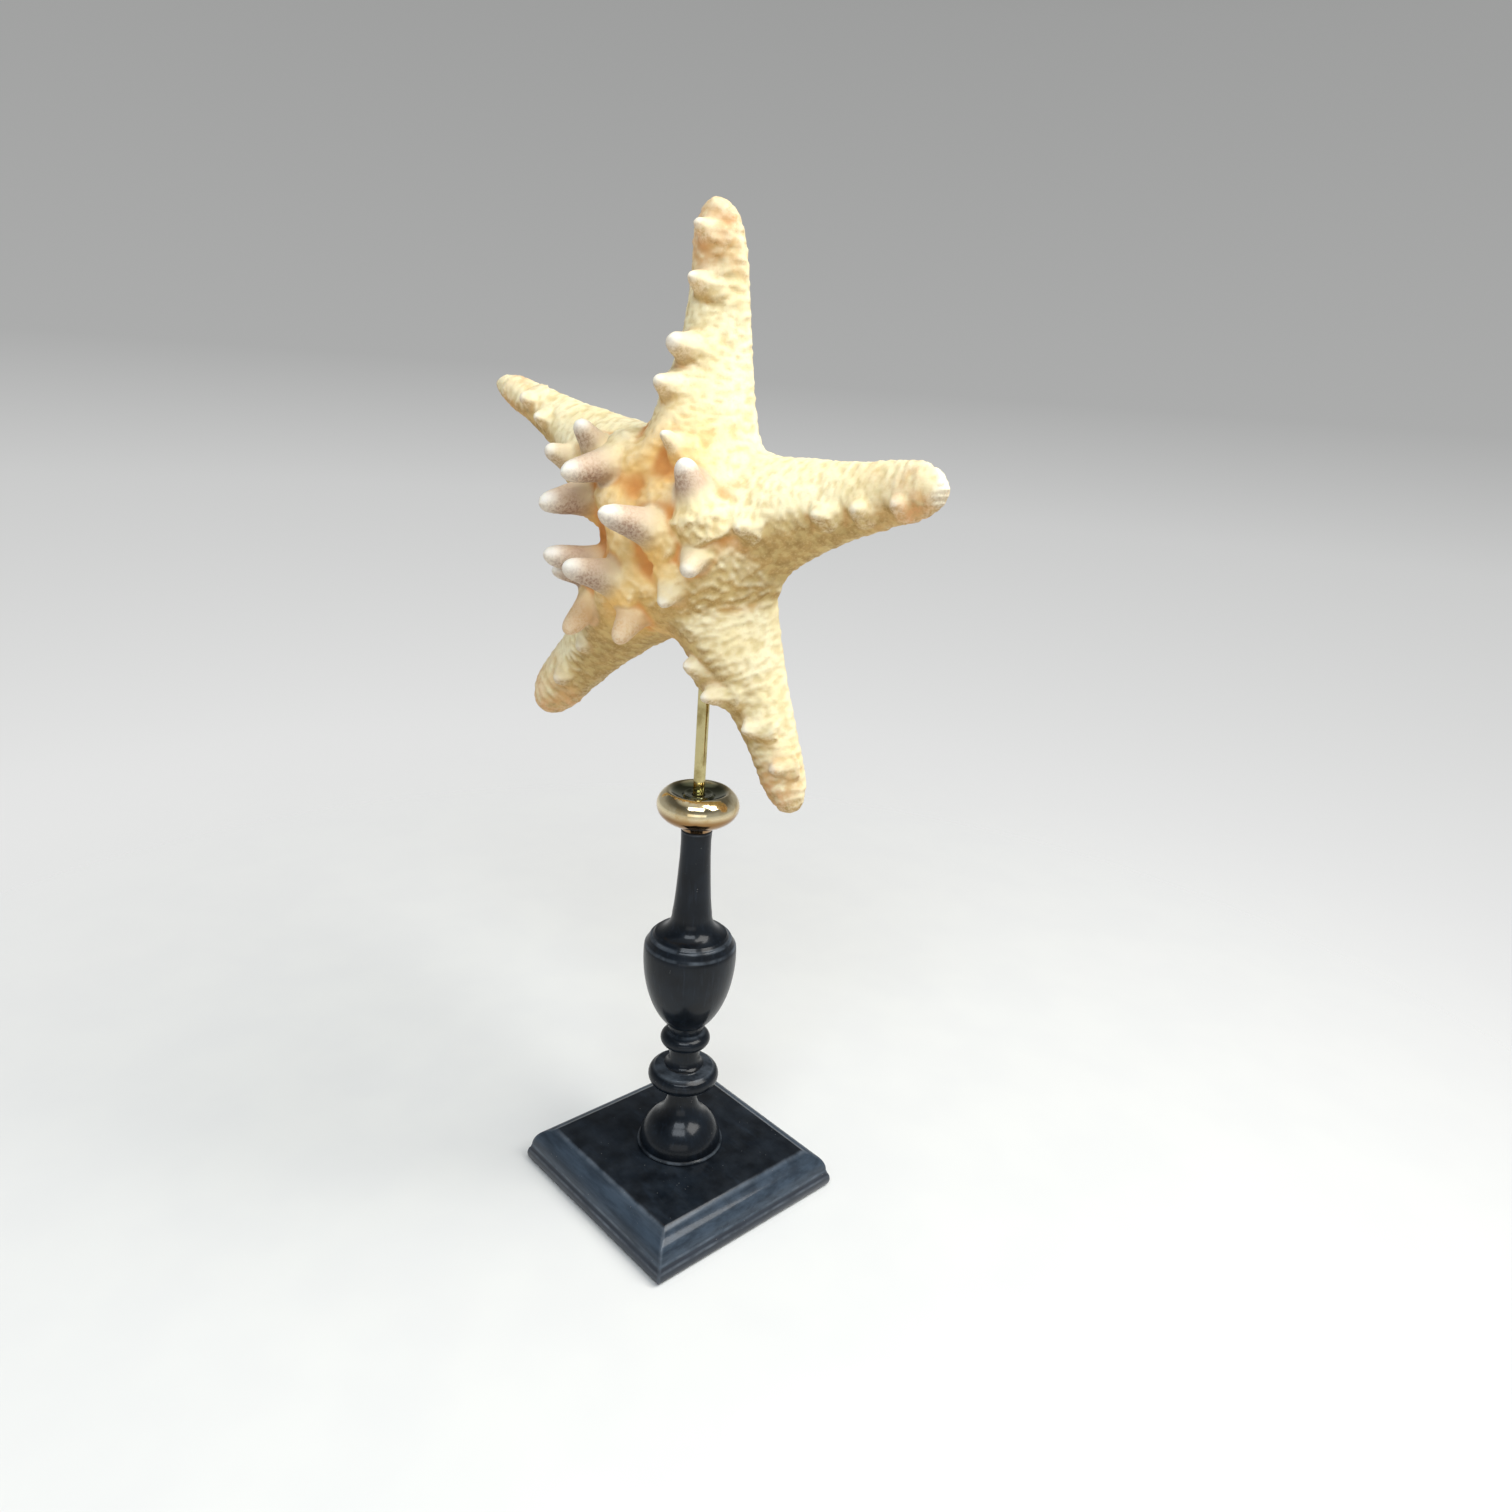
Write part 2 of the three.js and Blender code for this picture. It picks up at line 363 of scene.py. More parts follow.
rod = spin_outline("drawn_rod", ROD_OUTLINE, LATHE_STEPS // 2)
take(rod)
bpy.ops.object.shade_smooth_by_angle(angle=radians(40))
settle(rod, "brass_rod")

# %% [markdown]
# ## The starfish, as it lies
#
# A horned starfish is a thick disc that runs out into five arms, with blunt horns on its upper side. It
# is shaped lying flat, with its horned side up, and stood upright at the end. Bearings turn clockwise
# from +Y, as on a compass. `STATIONS` says how an arm changes along its length, and each arm then has its
# own bearing, length, lift and girth.

# %% The starfish's measures
STAR_PLACE = (-12, 4.8, 237.2)
STAR_TURN = 11.5

STATIONS = np.array([
    # distance, half width, height of the ridge, depth of the underside
    (0, 25, 25, 6),
    (18, 24, 24.5, 6.5),
    (30, 19.5, 22, 6.5),
    (42, 15.6, 17.5, 6.2),
    (56, 12.4, 11, 5.8),
    (70, 10.4, 7.4, 5.2),
    (84, 9.2, 6, 4.6),
])
ARM_REACH = 96
TIP_START = 81
DISC_REACH = 36
DISC_HEIGHT = 29
BELLY = 6

ARMS = [
    # bearing, stretch, lift of the tip, girth of the tip, sideways bend
    (2.4, 1.0, 4, 1.06, 0.6),
    (75.2, 0.94, 3, 0.96, -1.0),
    (152.5, 1.0, 0, 0.96, -1.4),
    (223.6, 1.06, 2, 1.1, 0.6),
    (293.4, 1.06, 1, 0.68, 1.8),
]

HOLLOWS = [
    # place on the crown (x, y), radius and depth; a depth below zero is a mound
    (3, 21, 6.5, 4),
    (-6, 14, 6, 3.5),
    (-24, -4, 7, 6),
    (3, -8, 5.5, 3),
    (-12, -25, 6, 6),
    (21, 6, 8, -2.5),
    (-11, 23, 5, -2),
    (-2, 27, 5, -2),
    (-20, 10, 6, -2),
    (-7, -16, 5, -2),
]

HORNS = [
    # bearing, distance, length, radius at the root, lean of the tip towards +X and +Y
    (70, 6, 19, 6.2, -6, 5),
    (62, 20, 13, 6.0, -3, 12),
    (95, 19, 9, 4.7, 2, -5),
    (141, 17, 7, 5.0, 1, -4),
    (216, 19, 18, 6.2, -7, 4),
    (319, 26, 19, 6.0, -5, -3),
    (16, 26, 7, 3.8, -2, 4),
    (0, 42, 7, 5.0, -1, 2),
    (2, 53, 8, 5.0, -1, 2),
    (3, 71, 7, 4.4, -1, 2),
    (3, 85, 6, 4.2, -1, 2),
    (79, 32, 3, 3.6, 0, 0),
    (77, 53, 2.6, 3.6, 0, 0),
    (77, 64, 3, 3.6, 0, 0),
    (77, 76, 3, 3.6, 0, 0),
    (160, 43, 6, 4.8, -2, 1),
    (155, 52, 7, 4.6, -3, -1),
    (150, 66, 5, 4.2, -2, 0),
    (149, 80, 4, 4.0, -1, 0),
    (231, 40, 15, 5.4, -1, -9),
    (198, 25, 12, 5.4, 1, -8),
    (242, 30, 20, 6.2, -7, 4),
    (240, 40, 16, 4.6, -5, 3),
    (223, 58, 4, 4.4, 0, -1),
    (223, 78, 4, 4.4, 0, -1),
    (286, 30, 18, 6.2, -4, -2),
    (304, 37, 11, 5.2, -2, 8),
    (292, 46, 9, 4.8, -3, 3),
    (295, 68, 5, 4.2, -1, 1),
    (296, 78, 5, 4.2, -1, 1),
]


def compass(bearing):
    """The direction of a bearing in the starfish's own plane."""
    return np.array([sin(radians(bearing)), cos(radians(bearing))])


def section(distance, girth=1.0):
    """Half width, ridge height and depth of an arm at each distance, drawn in to a round tip."""
    width, ridge, depth = [np.interp(distance, STATIONS[:, 0], STATIONS[:, column]) for column in (1, 2, 3)]
    past = np.clip((distance - TIP_START) / (ARM_REACH - TIP_START), 0, 1)
    slim = 1 + (girth - 1) * np.clip((distance - 40) / 40, 0, 1)
    tip = np.sqrt(1 - past**2)
    return width * tip * slim, ridge * tip, depth * tip


def tip_lift(distance, lift):
    """How far an arm has risen from the plane at a distance."""
    return lift * np.clip((distance - 50) / 43, 0, None) ** 2


def disc_height(distance):
    """Height of the disc's dome at a distance from the centre."""
    return DISC_HEIGHT * max(0, 1 - (distance / DISC_REACH) ** 3) ** 0.6


def arm_bend(distance, bend):
    """How far an arm has swung sideways at a distance."""
    return bend * np.sin(pi * np.clip((distance - 25) / 70, 0, 1))


def skin_height(bearing, distance):
    """Height of the skin where a horn stands."""
    height = disc_height(distance)
    for axis, _, lift, _, _ in ARMS:
        off = radians(bearing - axis)
        if cos(off) > 0:
            reach = distance * cos(off)
            width, ridge, _ = section(reach)
            aside = min(1, abs(distance * sin(off)) / max(width, 0.1))
            height = max(height, ridge * (1 - aside**1.6) ** 0.7 + tip_lift(reach, lift))
    return float(height)


print("the starfish has", len(ARMS), "arms and", len(HORNS), "horns")

# %% [markdown]
# ## The body of the starfish
#
# An arm changes its section all along its length, which no single operator gives. A sphere is a closed
# skin with a pole at each end, so its rings are drawn out along the arm by rule, as a sculptor would pull
# clay. The disc is spun from its outline. The pieces are joined, and a voxel remesh melts them into one
# skin. Smoothing then rounds the webs between the arms, and this happens before the horns go on, because
# it would wear them away.

# %% Disc and arms


def read_points(piece):
    """The corners of a piece's mesh as rows of x, y, z."""
    flat = np.empty(len(piece.data.vertices) * 3)
    piece.data.vertices.foreach_get("co", flat)
    return flat.reshape(-1, 3)


def write_points(piece, points):
    """Moves the corners of a piece's mesh."""
    piece.data.vertices.foreach_set("co", points.ravel())
    piece.data.update()


def signed_power(values, exponent):
    """A power of the size of each value, with the value's own sign."""
    return np.sign(values) * np.abs(values) ** exponent


def pull_arm(bearing, stretch, lift, girth, bend):
    """Draws a sphere out into one arm, in metres, with its ridge up."""
    let_go()
    bpy.ops.mesh.primitive_uv_sphere_add(segments=40, ring_count=72, radius=1)
    piece = bpy.context.object
    x, y, z = read_points(piece).T
    share = np.arccos(np.clip(z, -1, 1)) / pi
    ring = np.maximum(np.hypot(x, y), 1e-6)
    side, up = x / ring, y / ring
    distance = ARM_REACH * (1 - share**1.4)
    width, ridge, depth = section(distance, girth)
    closing = np.minimum(1, np.minimum((1 - share) * 12, share * 60))
    across = width * signed_power(side, 1.2) * closing + arm_bend(distance, bend)
    above = ridge * np.clip(up, 0, 1) ** 1.3
    below = depth * np.clip(-up, 0, 1) ** 0.9
    height = (above - below) * closing + tip_lift(distance, lift)
    along = compass(bearing)
    reach = distance * stretch
    points = np.stack([
        along[0] * reach + along[1] * across,
        along[1] * reach - along[0] * across,
        height,
    ], axis=1)
    write_points(piece, points * MM)
    return piece


def spin_disc():
    """Spins the disc: a domed top and a shallow bowl below."""
    steps = 16
    angles = [pi / 2 * step / steps for step in range(steps)]
    bowl = [(DISC_REACH * sin(angle), -BELLY * cos(angle)) for angle in angles]
    radii = [DISC_REACH * cos(angle) for angle in angles]
    dome = [(radius, disc_height(radius)) for radius in radii]
    return spin_outline("disc", [*bowl, *dome, (0, DISC_HEIGHT)], 72)


BODY_VOXEL = 1.1 * MM
BODY_SMOOTHING = 14

parts = [spin_disc()]
parts += [pull_arm(*arm) for arm in ARMS]
star = join("dried_starfish", parts)
apply_modifier(star, "REMESH", mode="VOXEL", voxel_size=BODY_VOXEL)
apply_modifier(star, "SMOOTH", factor=0.5, iterations=BODY_SMOOTHING)


def press_crown(piece):
    """Presses hollows into the crown and raises mounds on it, where the horns will stand."""
    points = read_points(piece) / MM
    for x, y, radius, depth in HOLLOWS:
        near = ((points[:, 0] - x) ** 2 + (points[:, 1] - y) ** 2) / radius**2
        points[:, 2] -= depth * np.exp(-near) * np.clip(points[:, 2] / 20, 0, 1)
    write_points(piece, points * MM)


press_crown(star)
print("body skin:", len(star.data.polygons), "faces")

# %% [markdown]
# ## The horns
#
# A horn is a blunt cone with a wide, flared foot. Each one is spun from its own outline, leaned, and
# rooted in the body deeply enough to leave no gap under it. A second, finer remesh grows them together
# with the body, and a light smoothing leaves a hollow fillet round each foot.

# %% Horns
ROOT = 3
DEEP_ROOT = 8
KNOB_LENGTH = 8
LONG_SLOPE = 0.52
KNOB_SLOPE = 0.72
FLARE = 0.62
FLARE_FADE = 2.8
TIP_CLOSING = 0.74
SKIN_VOXEL = 0.715 * MM
SKIN_SMOOTHING = 6


def horn_frame(bearing, distance, length, lean_x, lean_y):
    """The foot of a horn and the direction that it points in."""
    flat = compass(bearing) * distance
    foot = Vector((flat[0], flat[1], skin_height(bearing, distance) - ROOT))
    rise = max(4, length**2 - lean_x**2 - lean_y**2) ** 0.5
    return foot, Vector((lean_x, lean_y, rise)).normalized()


def spin_horn(bearing, distance, length, radius, lean_x, lean_y):
    """Spins one horn and sets it on the skin."""
    total = ROOT + length
    steps = 16
    slope = KNOB_SLOPE if length < KNOB_LENGTH else LONG_SLOPE
    foot, axis = horn_frame(bearing, distance, length, lean_x, lean_y)
    deep = min(DEEP_ROOT, max(0.5, foot.z - 3))
    outline = [(0, -deep), (radius * 1.6, -deep)]
    for step in range(steps):
        share = step / steps
        taper = 1.0 - slope * share
        flare = FLARE * exp(-share * total / FLARE_FADE)
        close = (1 - max(0, (share - TIP_CLOSING) / (1 - TIP_CLOSING)) ** 2.2) ** 0.5
        outline.append((radius * (taper + flare) * close, share * total))
    outline.append((0, total))
    piece = spin_outline("horn", outline, 20)
    lean = Vector((0, 0, 1)).rotation_difference(axis).to_matrix().to_4x4()
    piece.data.transform(Matrix.Translation(foot * MM) @ lean)
    return piece


horns = [spin_horn(*horn) for horn in HORNS]
join("dried_starfish", [star, *horns])
apply_modifier(star, "REMESH", mode="VOXEL", voxel_size=SKIN_VOXEL)
apply_modifier(star, "SMOOTH", factor=0.5, iterations=SKIN_SMOOTHING)
print("skin with horns:", len(star.data.polygons), "faces")

# %% [markdown]
# ## Where things are on the skin
#
# The wrinkles, pits and colours all depend on where a point lies: on which arm, how far out, on a horn or
# between two, in a hollow or on a crest. Those answers are worked out once for every corner of the skin.
# The hollows are found by smoothing a copy of the skin: where the smoothed copy lies outside the real
# one, the skin is hollow.

# %% Measuring the skin


def smoothstep(values, low, high):
    """Runs from 0 at low to 1 at high, with soft ends."""
    share = np.clip((values - low) / (high - low), 0, 1)
    return share * share * (3 - 2 * share)


def normals_of(piece):
    """The normal at each corner of a piece's mesh."""
    flat = np.empty(len(piece.data.vertices) * 3)
    piece.data.vertices.foreach_get("normal", flat)
    return flat.reshape(-1, 3)


def smoothed(piece, points, rounds):
    """The points after each has moved halfway to the mean of its neighbours, many times over."""
    ends = np.empty(len(piece.data.edges) * 2, int)
    piece.data.edges.foreach_get("vertices", ends)
    first, second = ends.reshape(-1, 2).T
    count = len(points)
    neighbours = np.bincount(first, minlength=count) + np.bincount(second, minlength=count)
    result = points.copy()
    for _ in range(rounds):
        total = np.empty_like(result)
        for axis in range(3):
            values = result[:, axis]
            from_second = np.bincount(first, values[second], count)
            total[:, axis] = from_second + np.bincount(second, values[first], count)
        result = (result + total / neighbours[:, None]) / 2
    return result


def arm_places(points):
    """For each arm: distance along it, distance across it, and how much each point belongs to it."""
    places = []
    for bearing, stretch, _, _, bend in ARMS:
        along = compass(bearing)
        out = points[:, 0] * along[0] + points[:, 1] * along[1]
        across = points[:, 0] * along[1] - points[:, 1] * along[0] - arm_bend(out, bend)
        belongs = np.clip(out / np.hypot(out, across).clip(1e-6), 0, 1) ** 10
        places.append((out / stretch, across, belongs))
    total = sum(place[2] for place in places) + 1e-6
    return [(out, across, belongs / total) for out, across, belongs in places]


def horn_shares(points):
    """For each point: how much it lies on a horn, on a lilac horn, on a sandy horn and on a horn's tip."""
    shaft, lilac, sand, tip = np.zeros((4, len(points)))
    for bearing, distance, length, radius, lean_x, lean_y in HORNS:
        foot, axis = horn_frame(bearing, distance, length, lean_x, lean_y)
        from_foot = points - np.array(foot)
        height = from_foot @ np.array(axis)
        aside = np.linalg.norm(from_foot - height[:, None] * np.array(axis), axis=1)
        reach = radius * (1.15 - 0.55 * np.clip(height / (ROOT + length), 0, 1))
        inside = 1 - smoothstep(aside, reach, reach + 1.6)
        above = smoothstep(height, ROOT - length * 0.1, ROOT + length * 0.32)
        within = (height < ROOT + length + 1) * inside
        size = min(1, length / 11)
        shaft = np.maximum(shaft, above * within * size)
        # Long horns are lilac, but those that lean down are sandy.
        sandy = smoothstep(-lean_y, 5.5, 8)
        deep = smoothstep(length, 6, 13) * (1 - 0.75 * sandy)
        grown = smoothstep(height, ROOT - length * 0.05, ROOT + length * 0.5)
        lilac = np.maximum(lilac, grown * within * deep)
        sand = np.maximum(sand, within * sandy * smoothstep(height, 0, ROOT + length * 0.3))
        white = smoothstep(height, ROOT + length * 0.58, ROOT + length * 0.96)
        tip = np.maximum(tip, white * within * min(1, size**0.6) * (1 - 0.85 * sandy))
    return shaft, lilac, sand, tip


points = read_points(star) / MM
normals = normals_of(star)
places = arm_places(points)
shaft, lilac, sand, tip = horn_shares(points)
NEAR_ROUNDS = 40
WIDE_ROUNDS = 320
near_hollow = ((smoothed(star, points, NEAR_ROUNDS) - points) * normals).sum(axis=1)
wide_hollow = ((smoothed(star, points, WIDE_ROUNDS) - points) * normals).sum(axis=1)
out = sum(place[0] * place[2] for place in places)
under = smoothstep(-normals[:, 2], 0.15, 0.6)
print("hollows from", round(float(wide_hollow.min()), 2), "to", round(float(wide_hollow.max()), 2), "mm")

# %% [markdown]
# ## The skin
#
# A dried starfish's skin has shrunk onto small chalky plates. On the arms it lies in short wrinkles that
# run across the arm, between them are pits, and the crown between the horns is rough and granular. The
# horns themselves are nearly smooth. All of this is real relief, so it is moved into the mesh.
# `mathutils.noise` gives the same numbers on every run. Stretching its space along one direction turns
# round bumps into wrinkles.
#
# The underside is what a starfish walks on. A groove runs down the middle of each arm from the mouth,
# with a row of small plates along both its banks. One arm ends in a hard cap, which short furrows cross.

# %% Sculpting the skin


def bumps(places_in_noise, seed):
    """A smooth noise between about -1 and 1 for each row of x, y, z."""
    shift = Vector((seed * 17.3, seed * 5.1, seed * 9.7))
    return np.array([noise.noise(Vector(place) + shift) for place in places_in_noise])


def cross_wrinkles(points, places, length, width, seed):
    """Bumps stretched across each arm, blended where two arms meet."""
    total = np.zeros(len(points))
    for arm, (out, across, belongs) in enumerate(places):
        near = np.nonzero(belongs > 0.04)[0]
        stretched = np.stack([out / width, across / length, points[:, 2] / length], axis=1)[near]
        total[near] += belongs[near] * bumps(stretched, seed + arm)
    return total


WRINKLE_LENGTH, WRINKLE_WIDTH = 3.6, 1.6
FINE_LENGTH, FINE_WIDTH = 2.4, 1.0
PEBBLE = 2.2
SWELL = 9
GRAIN = 1.25
FOLD_PITCH = 3.6
CAP_ARM = 1
CAP_START = 91.6
CAP_GROOVE = 1.9
MOUTH_RADIUS = 5.5
MOUTH_DEPTH = 2.6
GROOVE_WIDTH = 1.7
GROOVE_DEPTH = 2.2
BANK = 3.3
BANK_WIDTH = 0.9
BANK_RISE = 0.85
PLATE_PITCH = 2.3

# How far each kind of relief moves the skin, in millimetres.
WRINKLE_RISE = 0.3
FINE_RISE = 0.14
PEBBLE_RISE = 0.14
CROWN_RISE = 0.26
GRAIN_RISE = 0.12
SWELL_RISE = 0.4
FOLD_RISE = 0.12
HORN_PEBBLE_RISE = 0.1
HORN_GRAIN_RISE = 0.05
CAP_DEPTH = 0.42


def cap_on_arm(places, arm, swell):
    """How much each point lies on the hard cap at the end of one arm, whose border wavers."""
    out, _, belongs = places[arm]
    border = out + 4 * swell
    return smoothstep(border, CAP_START - 2, CAP_START + 1.5) * smoothstep(belongs, 0.5, 0.9)


def underside_relief(points, places):
    """The mouth, the grooves and the plates along their banks, as a height for each point."""
    centre = np.hypot(points[:, 0], points[:, 1])
    relief = -MOUTH_DEPTH * np.exp(-((centre / MOUTH_RADIUS) ** 2))
    for out, across, belongs in places:
        here = smoothstep(belongs, 0.35, 0.7) * smoothstep(out, 3, 9) * (1 - smoothstep(out, 84, 93))
        groove = -GROOVE_DEPTH * np.exp(-((across / GROOVE_WIDTH) ** 2))
        bank = np.exp(-(((np.abs(across) - BANK) / BANK_WIDTH) ** 2))
        plates = 0.55 + 0.45 * np.cos(out * 2 * pi / PLATE_PITCH)
        relief += here * (groove + BANK_RISE * bank * plates)
    return relief


wrinkle = cross_wrinkles(points, places, WRINKLE_LENGTH, WRINKLE_WIDTH, seed=1)
fine_wrinkle = cross_wrinkles(points, places, FINE_LENGTH, FINE_WIDTH, seed=11)
pebble = bumps(points / PEBBLE, seed=21)
swell = bumps(points / SWELL, seed=31)
grain = bumps(points / GRAIN, seed=41)

on_skin = 1 - shaft
crown = 1 - smoothstep(out, 26, 44)
cap = cap_on_arm(places, CAP_ARM, swell) * (1 - under)
grooves = 0.5 + 0.5 * np.cos(places[CAP_ARM][1] * 2 * pi / CAP_GROOVE)
near_tip = smoothstep(out, 66, 82) * (1 - smoothstep(out, 88, 93))
folds = np.sin(out * 2 * pi / FOLD_PITCH + 3 * swell) * near_tip
rough_skin = WRINKLE_RISE * wrinkle + FINE_RISE * fine_wrinkle + GRAIN_RISE * grain
relief = on_skin * (rough_skin + (PEBBLE_RISE + CROWN_RISE * crown) * pebble)
relief += SWELL_RISE * swell * (1 - 0.6 * shaft) * (1 - under)
relief += FOLD_RISE * folds * on_skin * (1 - under) * (1 - cap)
relief -= CAP_DEPTH * grooves**2 * cap
relief += shaft * (HORN_PEBBLE_RISE * pebble + HORN_GRAIN_RISE * grain)
relief += under * underside_relief(points, places)
write_points(star, (points + normals * relief[:, None]) * MM)
print("relief from", round(float(relief.min()), 2), "to", round(float(relief.max()), 2), "mm")

# %% [markdown]
# ## Notes for the painter
#
# The finish needs to know some of what was just measured, so it is stored on the mesh as named
# attributes, one number for each corner. They travel with the mesh, and a shader reads them by name.

# %% Attributes


def note(piece, name, values):
    """Stores one number for each corner of the mesh, under a name."""
    layer = piece.data.attributes.new(name, "FLOAT", "POINT")
    layer.data.foreach_set("value", np.clip(values, 0, 1).astype(np.float32))


WARM_SPREAD = 2.1
CROWN_WARMTH = 0.5
CROWN_MIDDLE = -8

low_grain = 0.55 * wrinkle + 0.3 * fine_wrinkle + 0.35 * pebble
pit = smoothstep(-low_grain, -0.12, 0.36) * on_skin
# The wide hollows, where the skin is later painted a deeper orange, partly as painted shade.
crevice = smoothstep(wide_hollow, 0.25, 1.45) * on_skin
blush = smoothstep(out, 64, 88) * (0.55 + 0.8 * swell) * (1 - cap)
tan = np.maximum(blush, 0.3 * smoothstep(near_hollow, 0.05, 0.32)) * (1 - under)
from_crown = np.hypot(points[:, 0] - CROWN_MIDDLE, points[:, 1])
warm = CROWN_WARMTH * (1 - smoothstep(from_crown, 16, 34)) * smoothstep(points[:, 2], 12, 22)
for x, y, radius, depth in HOLLOWS:
    if depth > 0:
        squared = (points[:, 0] - x) ** 2 + (points[:, 1] - y) ** 2
        from_middle = squared / (WARM_SPREAD * radius) ** 2
        warm = np.maximum(warm, np.exp(-from_middle) * smoothstep(points[:, 2], 6, 14))

NOTES = {
    "shaft": shaft,
    "lilac": lilac,
    "sand": sand,
    "tip": np.maximum(tip, 0.6 * cap),
    "pit": pit,
    "crevice": crevice,
    "warm": warm * on_skin,
    "crest": smoothstep(-near_hollow, 0.1, 0.5),
    "tan": tan,
    "under": under,
}
for name, values in NOTES.items():
    note(star, name, values)
print("notes:", ", ".join(NOTES))

# %% [markdown]
# ## Standing it up
#
# The starfish was shaped lying flat. It is now stood upright with its horned side forward, turned a
# little, and moved to its place. The change goes into the mesh, so the object itself stays at the origin.
# Then the hole for the rod is drilled up into the edge of the lowest arm.

# %% Upright
BELOW_ARM = 170
CLEARANCE = 0.3

upright = Matrix.Rotation(pi / 2, 4, "X")
turned = Matrix.Rotation(radians(STAR_TURN), 4, "Z")
star.data.transform(Matrix.Translation(Vector(STAR_PLACE) * MM) @ turned @ upright)
drill(star, BORE_RADIUS, BELOW_ARM, ROD_TOP + CLEARANCE)
take(star)
bpy.ops.object.shade_smooth()
settle(star, "starfish")
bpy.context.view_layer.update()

# %% [markdown]
# ## A small language for finishes
#
# A shader is a graph of nodes, which is slow to read as code. `Wire` wraps one output of a node, so that
# `a * 0.5 + b` adds the Math nodes it needs. `Finish` wraps a material, and its `add` makes any other
# node from its type, its settings and its inputs.

# %% Wires and finishes


class Wire:
    """One output of a node. Arithmetic on wires adds Math nodes."""

    def __init__(self, finish, socket):
        self.finish = finish
        self.socket = socket

    def maths(self, operation, *values):
        """Adds a Math node for the operation on these values."""
        inputs = dict(enumerate(values))
        return self.finish.add("ShaderNodeMath", {"operation": operation}, inputs)

    def __add__(self, other):
        return self.maths("ADD", self, other)

    __radd__ = __add__

    def __mul__(self, other):
        return self.maths("MULTIPLY", self, other)

    def __sub__(self, other):
        return self.maths("SUBTRACT", self, other)

    def __rsub__(self, other):
        return self.maths("SUBTRACT", other, self)

    def size(self):
        """The value without its sign."""
        return self.maths("ABSOLUTE", self)

    def between(self, low, high):
        """Runs from 0 at low to 1 at high, with soft ends."""
        settings = {"interpolation_type": "SMOOTHSTEP"}
        inputs = {"Value": self, "From Min": low, "From Max": high}
        return self.finish.add("ShaderNodeMapRange", settings, inputs)


class Finish:
    """A material whose nodes are added from code."""

    def __init__(self, name):
        self.material = bpy.data.materials.new(name)
        self.material.use_nodes = True
        self.tree = self.material.node_tree
        self.tree.nodes.clear()
        self.place = self.add("ShaderNodeTexCoord", output="Object")

    def add(self, kind, settings=None, inputs=None, output=0):
        """Adds a node: its settings first, then its inputs, each a value or a wire."""
        node = self.tree.nodes.new(kind)
        for name, value in (settings or {}).items():
            setattr(node, name, value)
        for name, value in (inputs or {}).items():
            if isinstance(value, Wire):
                self.tree.links.new(value.socket, node.inputs[name])
            else:
                node.inputs[name].default_value = value
        return Wire(self, node.outputs[output])

    def attribute(self, name):
        """Reads one of the numbers noted on the mesh."""
        return self.add("ShaderNodeAttribute", {"attribute_name": name}, output="Fac")

    def axis(self, letter):
        """One of the object's own coordinates, in metres."""
        return self.add("ShaderNodeSeparateXYZ", None, {"Vector": self.place}, output=letter)

    def stretched(self, scale):
        """The object's own coordinates, with each axis multiplied by a factor."""
        return self.add("ShaderNodeMapping", {"vector_type": "POINT"}, {"Vector": self.place, "Scale": scale})

    def length(self, vector):
        """The length of a vector."""
        return self.add("ShaderNodeVectorMath", {"operation": "LENGTH"}, {0: vector}, output="Value")

    def noise(self, grain, detail=3, roughness=0.5, stretch=(1, 1, 1)):
        """Noise with bumps of about the grain's size in millimetres."""
        inputs = {"Vector": self.stretched(stretch), "Scale": 1 / (grain * MM), "Detail": detail}
        inputs["Roughness"] = roughness
        return self.add("ShaderNodeTexNoise", {"normalize": True}, inputs, output="Fac")

    def specks(self, grain, size):
        """Round specks in cells of the grain's size in millimetres: 1 on a speck and 0 between."""
        inputs = {"Vector": self.place, "Scale": 1 / (grain * MM)}
        distance = self.add("ShaderNodeTexVoronoi", {"feature": "F1"}, inputs, output="Distance")
        return 1 - distance.between(size * 0.6, size)

    def mix(self, share, first, second):
        """A colour that runs from the first to the second."""
        inputs = {0: share, 6: first, 7: second}
        settings = {"data_type": "RGBA", "blend_type": "MIX", "clamp_factor": True}
        return self.add("ShaderNodeMix", settings, inputs, output=2)

    def bump(self, height, depth, strength=1.0):
        """A bump whose height of 1 stands for the depth in millimetres."""
        inputs = {"Height": height, "Distance": depth * MM, "Strength": strength}
        return self.add("ShaderNodeBump", None, inputs)

    def surface(self, **inputs):
        """Ends the material in a Principled shader with these inputs."""
        named = {name.replace("_", " "): value for name, value in inputs.items()}
        shader = self.add("ShaderNodeBsdfPrincipled", None, named)
        self.add_output(shader)
        return self.material

    def add_output(self, shader):
        """Ends the material in this shader."""
        output = self.tree.nodes.new("ShaderNodeOutputMaterial")
        self.tree.links.new(shader.socket, output.inputs["Surface"])


def colour(red, green, blue):
    """Turns a colour's screen values, from 0 to 255, into the linear values of a shader."""
    shares = [value / 255 for value in (red, green, blue)]
    linear = [share / 12.92 if share < 0.04 else ((share + 0.055) / 1.055) ** 2.4 for share in shares]
    return (*linear, 1)


def paint(piece, material):
    """Gives a piece its only material."""
    piece.data.materials.clear()
    piece.data.materials.append(material)
